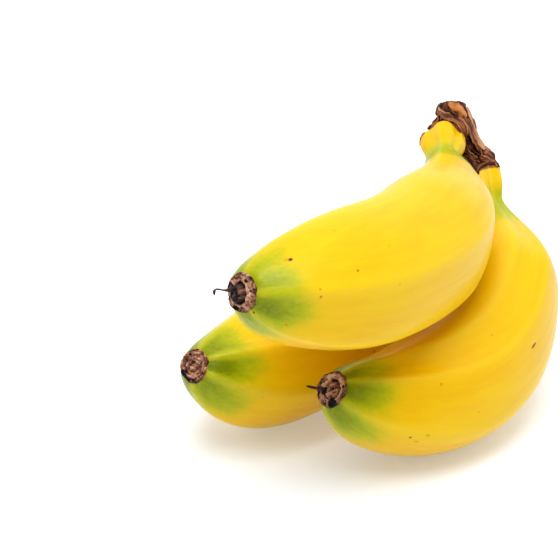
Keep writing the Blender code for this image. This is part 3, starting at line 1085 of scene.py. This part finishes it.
# Bands of bark that lie over the crown: pixels of the photograph along the middle, width at the start,
# middle and end, thickness, lift, shade, and how far the edges curl up.
BARK_BANDS = {
    "rim_band": (
        ((439.5, 108.5), (444.0, 112.5), (449.5, 115.5), (455.0, 119.5), (460.5, 125.5), (466.0, 134.0)),
        (1.6, 2.9, 2.2), 1.0, 0.35, 0.52, 0.35,
    ),
    # The rim shadow is a darker band laid along the rim band: a painted shadow.
    "rim_shadow": (
        ((446.0, 109.0), (452.0, 113.5), (458.0, 119.0), (463.0, 125.5), (467.0, 133.5)),
        (1.6, 2.4, 2.0), 0.9, 0.15, 0.36, 0.2,
    ),
    "right_strip": (
        ((465.5, 107.0), (468.5, 115.0), (470.5, 124.0), (474.0, 133.0), (479.0, 142.0), (484.5, 150.5)),
        (1.8, 2.4, 2.0), 0.9, 0.3, 0.80, 0.2,
    ),
    "right_strip_inner": (
        ((463.0, 118.0), (467.0, 127.0), (470.5, 136.0), (475.5, 144.5), (480.0, 151.0)),
        (1.4, 2.0, 1.5), 0.8, 0.3, 0.48, 0.2,
    ),
    "hollow_edge": (
        ((466.5, 140.5), (462.8, 146.0), (461.2, 151.5), (463.0, 158.0), (467.5, 164.5), (473.5, 170.5)),
        (0.8, 1.3, 1.0), 0.7, 0.3, 0.50, 0.1,
    ),
    "hollow_fold": (
        ((467.0, 147.0), (469.5, 152.5), (473.0, 156.0), (477.5, 158.5)),
        (0.8, 1.4, 0.9), 0.7, 0.5, 0.50, 0.1,
    ),
    "hollow_floor": (
        ((464.5, 154.5), (468.5, 158.5), (473.0, 161.5), (475.5, 166.5)),
        (0.8, 1.5, 0.9), 0.7, 0.4, 0.38, 0.1,
    ),
    "red_lump": (
        ((481.0, 156.0), (484.0, 159.0), (487.0, 162.0), (489.5, 164.0)),
        (1.6, 2.6, 1.6), 1.2, 0.35, 0.46, 0.0,
    ),
    "lower_edge": (
        ((486.0, 153.5), (489.5, 157.5), (493.0, 161.5), (497.5, 167.5)),
        (1.4, 2.0, 1.4), 1.0, 0.2, 0.30, 0.1,
    ),
    "neck_seam": (
        ((477.0, 172.5), (479.0, 168.0), (482.5, 165.2), (487.0, 163.8), (491.5, 163.2), (496.5, 164.0),
         (499.8, 167.5)),
        (1.1, 0.9, 0.7), 0.8, 0.1, 0.20, 0.1,
    ),
    "neck_wedge": (
        ((472.0, 166.0), (474.5, 169.0), (477.0, 172.0), (478.5, 174.5)),
        (1.6, 1.8, 0.8), 0.9, 0.0, 0.14, 0.0,
    ),
    "left_chip": (
        ((439.8, 104.0), (438.5, 108.5), (437.0, 112.5), (435.8, 116.0)),
        (1.4, 1.7, 1.0), 0.9, 0.0, 0.30, 0.1,
    ),
    "left_spike": (
        ((441.5, 112.0), (438.5, 116.0), (435.0, 120.5), (432.5, 124.5)),
        (1.2, 1.3, 0.6), 0.8, 0.0, 0.24, 0.1,
    ),
    "left_nib": (
        ((433.5, 124.5), (430.5, 126.6), (427.5, 129.0)),
        (0.9, 1.3, 0.8), 0.9, 0.1, 0.22, 0.0,
    ),
}
# The smooth oval face, tan as fresh-cut wood.
FLAKE = (
    ((449.5, 102.5), (454.0, 106.0), (458.5, 110.0), (462.0, 114.0), (465.0, 118.0)),
    (2.2, 3.9, 1.8), 1.3, 0.55, 0.62, -0.25,
)
# The thin dried edge on the neck of the top fruit.
NECK_RIM = (
    ((424.6, 132.0), (422.4, 134.6), (421.0, 137.5), (420.2, 141.5), (420.0, 146.0)),
    (0.5, 0.5, 0.35), 0.35, 0.0, 0.42, 0.0,
)
FLAKE_SEED = 31.0
NECK_RIM_SEED = 41.0
BAND_STATIONS = 65
BAND_STEADYING = 40
DEPTH_STEADYING = 400
BAND_EVERY = 8
BAND_SIDES = 28
# How strips are cut: how blunt their ends are and what is left there, how square their edges, how deep the
# fray and the furrows.
BAND_CUT = (6, 0.03, 0.8, 0.22, 0.30)
BACK_CUT = (4, 0.05, 1.0, 0.25, 0.28)
STRIP_NOISE_SCALE = 0.9
STRIP_FRAY_GRAIN = (0.6, 0.6, 0.8)
STRIP_FURROW_GRAIN = (1.0, 1.0, 0.14)
# Painted shade of the strips: darker in their furrows, underneath and at edges that curl down, paler at
# other edges.
STRIP_FURROW_PAINTED_SHADE = 0.7
BAND_EDGE_FROM = 0.6
BAND_EDGE_PAINTED_SHADING = 0.30
BAND_UNDERSIDE = -0.3
BAND_UNDERSIDE_PAINTED_SHADE = 0.25


def strip_mesh(name, line, outward, form, cut, seeds):
    """A strip of bark on a surface: frayed at its edges, furrowed along, tapered at both ends.

    It comes with its furrows and with where its points lie across the strip and through it, from -1 to 1.
    """
    widths, thickness, lift, curl, grain_half = form
    end_power, end_left, edge_power, fray_depth, furrow_depth = cut
    grain_shift, fray_seed, furrow_seed = seeds
    directions = unit(np.gradient(line, axis=0))
    outward = unit(outward - directions * np.sum(outward * directions, axis=1, keepdims=True))
    sideways = np.cross(directions, outward)
    share = np.linspace(0.0, 1.0, BAND_STATIONS)
    narrowing = np.sqrt(np.clip(1.0 - (2 * share - 1.0) ** end_power, 0.0, 1.0))
    taper = narrowing * (1.0 - end_left) + end_left
    half = np.interp(share, (0.0, 0.5, 1.0), widths) * taper / 2
    angles = angles_round(BAND_SIDES)
    waves = (np.cos(angles), np.sin(angles))
    across, through = [np.sign(wave) * np.abs(wave) ** edge_power for wave in waves]
    walked = walked_along(line)[:, None]
    grain = np.stack(np.broadcast_arrays(across * grain_half, through * 0.5, walked), axis=-1) + grain_shift
    fray = 1.0 + fray_depth * soft_noise(grain * STRIP_FRAY_GRAIN, STRIP_NOISE_SCALE, fray_seed)
    furrow = furrow_depth * rough_noise(grain * STRIP_FURROW_GRAIN, STRIP_NOISE_SCALE, furrow_seed)
    height = through * (thickness * taper / 2)[:, None] + curl * across**2 + lift + furrow * taper[:, None]
    rows = line[:, None] + sideways[:, None] * (across * half[:, None] * fray)[..., None]
    rows = rows + outward[:, None] * height[..., None]
    mesh = grid_mesh(name, to_row(inside_crown_box(rows)))
    give_attribute(mesh, "grain", grain * MM)
    return mesh, furrow, across, through


def band_mesh(name, tree, band, seed):
    """A band on a surface along pixels of the photograph, with painted shade: darker in its furrows,
    underneath and at edges that curl down, paler at other edges.
    """
    path, widths, thickness, lift, level, curl = band
    seen = np.array([seen_at(tree, pixel)[0] for pixel in smooth_line(path, BAND_STATIONS)])
    depth = seen @ VIEW_AHEAD
    even = seen + (steadied(depth, DEPTH_STEADYING) - depth)[:, None] * VIEW_AHEAD
    found = [near_surface(tree, point) for point in even]
    line = steadied(np.array([place for place, _ in found]), BAND_STEADYING)
    line = smooth_line(line[::BAND_EVERY], BAND_STATIONS)
    outward = steadied(np.array([normal for _, normal in found]), BAND_STEADYING)
    form = (widths, thickness, lift, curl, widths[1] / 2)
    seeds = (seed * 11.0, seed, seed + 1)
    mesh, furrow, across, through = strip_mesh(name, line, outward, form, BAND_CUT, seeds)
    # Painted light and shade at the edges by which way they curl, and painted shade underneath.
    painted_edge_shading = BAND_EDGE_PAINTED_SHADING * smooth_step((np.abs(across) - BAND_EDGE_FROM) / (1.0 - BAND_EDGE_FROM))
    shade = level + STRIP_FURROW_PAINTED_SHADE * furrow + (painted_edge_shading if curl >= 0 else -painted_edge_shading)
    give_attribute(mesh, "shade", shade - BAND_UNDERSIDE_PAINTED_SHADE * (through < BAND_UNDERSIDE))
    return mesh


# Bark round the sides and back of the crown, which the photograph doesn't show: strips from the cut end
# down to the necks, by bearing round the crown (0 is +X, 90 is +Y).
BACK_STRIPS = 15
BACK_SEED = 100
BACK_BEARINGS = (-20.0, 215.0)
BACK_SLANT = 26.0
BACK_TOP = (0.02, 0.35)
BACK_LENGTH = (0.4, 0.62)
BACK_REACH = 30.0
BACK_EVERY = 6
BACK_HALF_WIDTH = (0.8, 1.6)
BACK_THICKNESS = 0.9
BACK_LIFT = (-0.05, 0.2)
BACK_CURL = 0.12
BACK_GRAIN_HALF = 1.2
BACK_SHADE = (0.32, 0.6)
CROWN_AXIS_TOP = np.array((25.0, 60.5, 78.0))
CROWN_AXIS_FOOT = np.array((28.5, 63.0, 59.5))


def back_strip_mesh(tree, index):
    """One strip down the back of the crown, a little aslant, on the surface that carries it."""
    dice = np.random.default_rng(BACK_SEED + index)
    low, high = BACK_BEARINGS
    bearing = low + (high - low) * (index + 0.5 * dice.uniform(-1, 1)) / (BACK_STRIPS - 1)
    top = dice.uniform(*BACK_TOP)
    foot = top + dice.uniform(*BACK_LENGTH)
    line = []
    outward = []
    for share in np.linspace(top, min(foot, 1.0), BAND_STATIONS):
        aslant = math.radians(bearing + BACK_SLANT * (share - 0.5))
        away = np.array((math.cos(aslant), math.sin(aslant), 0.0))
        middle = CROWN_AXIS_TOP + (CROWN_AXIS_FOOT - CROWN_AXIS_TOP) * share
        place, normal, _, _ = tree.ray_cast(Vector(middle + away * BACK_REACH), Vector(-away))
        if place is None:
            continue
        line.append(np.array(place))
        outward.append(np.array(normal))
    line = smooth_line(np.array(line)[::BACK_EVERY], BAND_STATIONS)
    outward = smooth_line(np.array(outward)[::BACK_EVERY], BAND_STATIONS)
    width = 2 * dice.uniform(*BACK_HALF_WIDTH)
    lift = dice.uniform(*BACK_LIFT)
    form = ((width, width, width), BACK_THICKNESS, lift, BACK_CURL, BACK_GRAIN_HALF)
    seeds = (index * 13.0, index + 2, index)
    mesh, furrow, _, _ = strip_mesh("back_strip", line, outward, form, BACK_CUT, seeds)
    # Darker in the furrows: painted shade.
    give_attribute(mesh, "shade", dice.uniform(*BACK_SHADE) + STRIP_FURROW_PAINTED_SHADE * furrow)
    return mesh


# Loose fibres in the hollow and over the bark: the pixels of the photograph, across and down, between which
# their middles lie, and how many are tried. One that would jump from surface to surface is left out.
FIBRE_PATCHES = {
    "hollow": ((463.0, 484.0), (141.0, 170.0), 46),
    "bark": ((441.0, 482.0), (104.0, 150.0), 34),
}
FIBRE_SEED = 7
FIBRE_STEPS = 22
FIBRE_JUMP = 1.6
FIBRE_LOOKS = 13
FIBRE_HEADING = (-58.0, 28.0)
FIBRE_LENGTH = (7.0, 20.0)
FIBRE_BEND = 0.9
FIBRE_LIFT = (0.18, 0.5)
FIBRE_LIFTED_SHARE = 0.7
FIBRE_WAVES = (0.6, 2.2)
FIBRE_STEADYING = 4
FIBRE_THICKNESS = (0.16, 0.34)
FIBRE_END = 0.12
FIBRE_SHADE = (0.25, 0.85)
FIBRE_KNOBS = 0.2


def fibre_mesh(tree, middle, dice, seed):
    """A thin strand that follows the crown both ways from a pixel, or None if it would jump."""
    heading = math.radians(dice.normal(*FIBRE_HEADING))
    length = dice.uniform(*FIBRE_LENGTH)
    bend = dice.uniform(-FIBRE_BEND, FIBRE_BEND)
    pixels = []
    for step in np.linspace(0.0, 1.0, FIBRE_STEPS):
        angle = heading + bend * (step - 0.5)
        reach = length * (step - 0.5)
        pixels.append((middle[0] + reach * math.cos(angle), middle[1] - reach * math.sin(angle)))
    found = [seen_at(tree, pixel) for pixel in pixels]
    places = np.array([place for place, _ in found])
    jumps = np.linalg.norm(np.diff(places, axis=0), axis=1)
    if jumps.max() > FIBRE_JUMP:
        return None
    least, more = FIBRE_LIFT
    wave = np.sin(np.linspace(0.0, 1.0, FIBRE_STEPS) * math.pi * dice.uniform(*FIBRE_WAVES))
    lift = least + more * np.abs(wave)
    line = places + np.array([normal for _, normal in found]) * lift[:, None] * FIBRE_LIFTED_SHARE
    line = steadied(line, FIBRE_STEADYING)
    size = dice.uniform(*FIBRE_THICKNESS)
    thickness = size * np.sin(np.linspace(FIBRE_END, math.pi - FIBRE_END, FIBRE_STEPS)) ** 0.5
    return tube_mesh("fibre", line, thickness, dice.uniform(*FIBRE_SHADE), FIBRE_KNOBS, seed)


def make_crown(bark, flake_matter):
    """The core, the bands and strips of bark, the oval face and the loose fibres."""
    core = crown_core_mesh()
    tree = tree_of(core)
    around = tree_of(core, bpy.data.meshes["peel_right"])
    add_piece("crown_core", core, bark, "crown")
    bands = [band_mesh(name, around, form, i + 1.0) for i, (name, form) in enumerate(BARK_BANDS.items())]
    add_piece("crown_bands", joined_mesh("crown_bands", bands), bark)
    strips = [back_strip_mesh(tree, index) for index in range(BACK_STRIPS)]
    add_piece("crown_back_strips", joined_mesh("crown_back_strips", strips), bark)
    add_piece("crown_flake", band_mesh("crown_flake", tree, FLAKE, FLAKE_SEED), flake_matter)
    dice = np.random.default_rng(FIBRE_SEED)
    fibres = []
    for across, down, count in FIBRE_PATCHES.values():
        for _ in range(count):
            middle = (dice.uniform(*across), dice.uniform(*down))
            start, direction = photo_ray(middle)
            if tree.ray_cast(Vector(start), Vector(direction))[0] is not None:
                fibres.append(fibre_mesh(tree, middle, dice, float(len(fibres) % FIBRE_LOOKS)))
    fibres = [fibre for fibre in fibres if fibre]
    add_piece("crown_fibres", joined_mesh("crown_fibres", fibres), bark)


# The floor, the lights and the camera.
FLOOR_SIZE = 6.0
FLOOR_GLOW = 0.25
FLOOR_COLOUR = (0.76, 0.79, 0.86, 1.0)
FLOOR_GLOW_COLOUR = (0.88, 0.93, 1.0, 1.0)
WORLD_TURN = 0.8
WORLD_FRONT = 0.20
WORLD_BACK = 0.92
WORLD_BRIGHT_WAY = (0.22, 0.90, 0.38)
LIGHT_PLACE = (-0.04, -0.26, 0.86)
LIGHT_TARGET = (0.0, 0.0, 0.03)
LIGHT_SIZE = 0.7
LIGHT_POWER = 5.1


def make_floor():
    """A pale table that glows a little."""
    bpy.ops.mesh.primitive_plane_add(size=FLOOR_SIZE)
    floor = bpy.context.object
    floor.name = "floor"
    n = Nodes("floor")
    n.give("Base Color", FLOOR_COLOUR)
    n.give("Emission Color", FLOOR_GLOW_COLOUR)
    n.give("Emission Strength", FLOOR_GLOW)
    n.shine(0.9, 0.1)
    floor.data.materials.append(n.material)


def make_world():
    """A white studio, brighter behind the fruit than in front of it."""
    world = bpy.data.worlds.new("studio")
    bpy.context.scene.world = world
    world.use_nodes = True
    nodes = world.node_tree.nodes
    links = world.node_tree.links
    place = nodes.new("ShaderNodeTexCoord")
    towards = nodes.new("ShaderNodeVectorMath")
    towards.operation = "DOT_PRODUCT"
    towards.inputs[1].default_value = WORLD_BRIGHT_WAY
    level = nodes.new("ShaderNodeMapRange")
    limits = {"From Min": -WORLD_TURN, "From Max": WORLD_TURN, "To Min": WORLD_FRONT, "To Max": WORLD_BACK}
    for key, value in limits.items():
        level.inputs[key].default_value = value
    links.new(place.outputs["Generated"], towards.inputs[0])
    links.new(towards.outputs["Value"], level.inputs["Value"])
    links.new(level.outputs["Result"], nodes["Background"].inputs["Strength"])
    nodes["Background"].inputs["Color"].default_value = (1.0, 1.0, 1.0, 1.0)


def add_light(name, place, target, size, power):
    light = bpy.data.lights.new(name, "AREA")
    light.shape = "DISK"
    light.size = size
    light.energy = power
    holder = put_in_scene(name, light)
    holder.location = place
    holder.rotation_euler = (Vector(target) - Vector(place)).to_track_quat("-Z", "Y").to_euler()


def make_camera():
    camera = bpy.data.cameras.new("camera")
    camera.sensor_width = CAMERA_SENSOR
    camera.lens = CAMERA_LENS
    camera.clip_end = CAMERA_FAR
    holder = put_in_scene("camera", camera)
    holder.location = to_row(CAMERA_AIM - VIEW_AHEAD * CAMERA_DISTANCE)
    holder.rotation_euler = Vector(VIEW_AHEAD).to_track_quat("-Z", "Y").to_euler()
    bpy.context.scene.camera = holder


def make_fruits(cork, bark):
    for seed, (name, finger) in enumerate(FINGERS.items()):
        skin, straight = peel_mesh(name, finger, seed)
        scars = SCARS[name]
        places = straight_places(skin, straight, scars)
        peel = peel_material("peel_" + name, list(zip(places, scars.values())))
        add_piece("peel_" + name, skin, peel, "finger_" + name)
        end = flower_end_mesh(name, finger, seed + CORK_SEED)
        add_piece("flower_cork_" + name, end, cork, "flower_end_" + name)
        if name in STYLES:
            add_piece("style_" + name, style_mesh(name, finger), cork)
        if name == "top":
            rim = band_mesh("neck_rims", tree_of(skin), NECK_RIM, NECK_RIM_SEED)
            add_piece("neck_rims", rim, bark)


bark_matter = dry_material("bark", BARK_STOPS, 900.0, 0.10, 0.8)
flake_matter = dry_material("flake", FLAKE_STOPS, 1100.0, 0.06, 0.35)
cork_matter = dry_material("cork", CORK_STOPS, 1300.0, 1.0, 0.8)
make_fruits(cork_matter, bark_matter)
make_crown(bark_matter, flake_matter)
make_floor()
make_world()
add_light("overhead", LIGHT_PLACE, LIGHT_TARGET, LIGHT_SIZE, LIGHT_POWER)
make_camera()
bpy.context.scene.view_settings.view_transform = "Standard"
bpy.context.scene.view_settings.look = "Medium High Contrast"
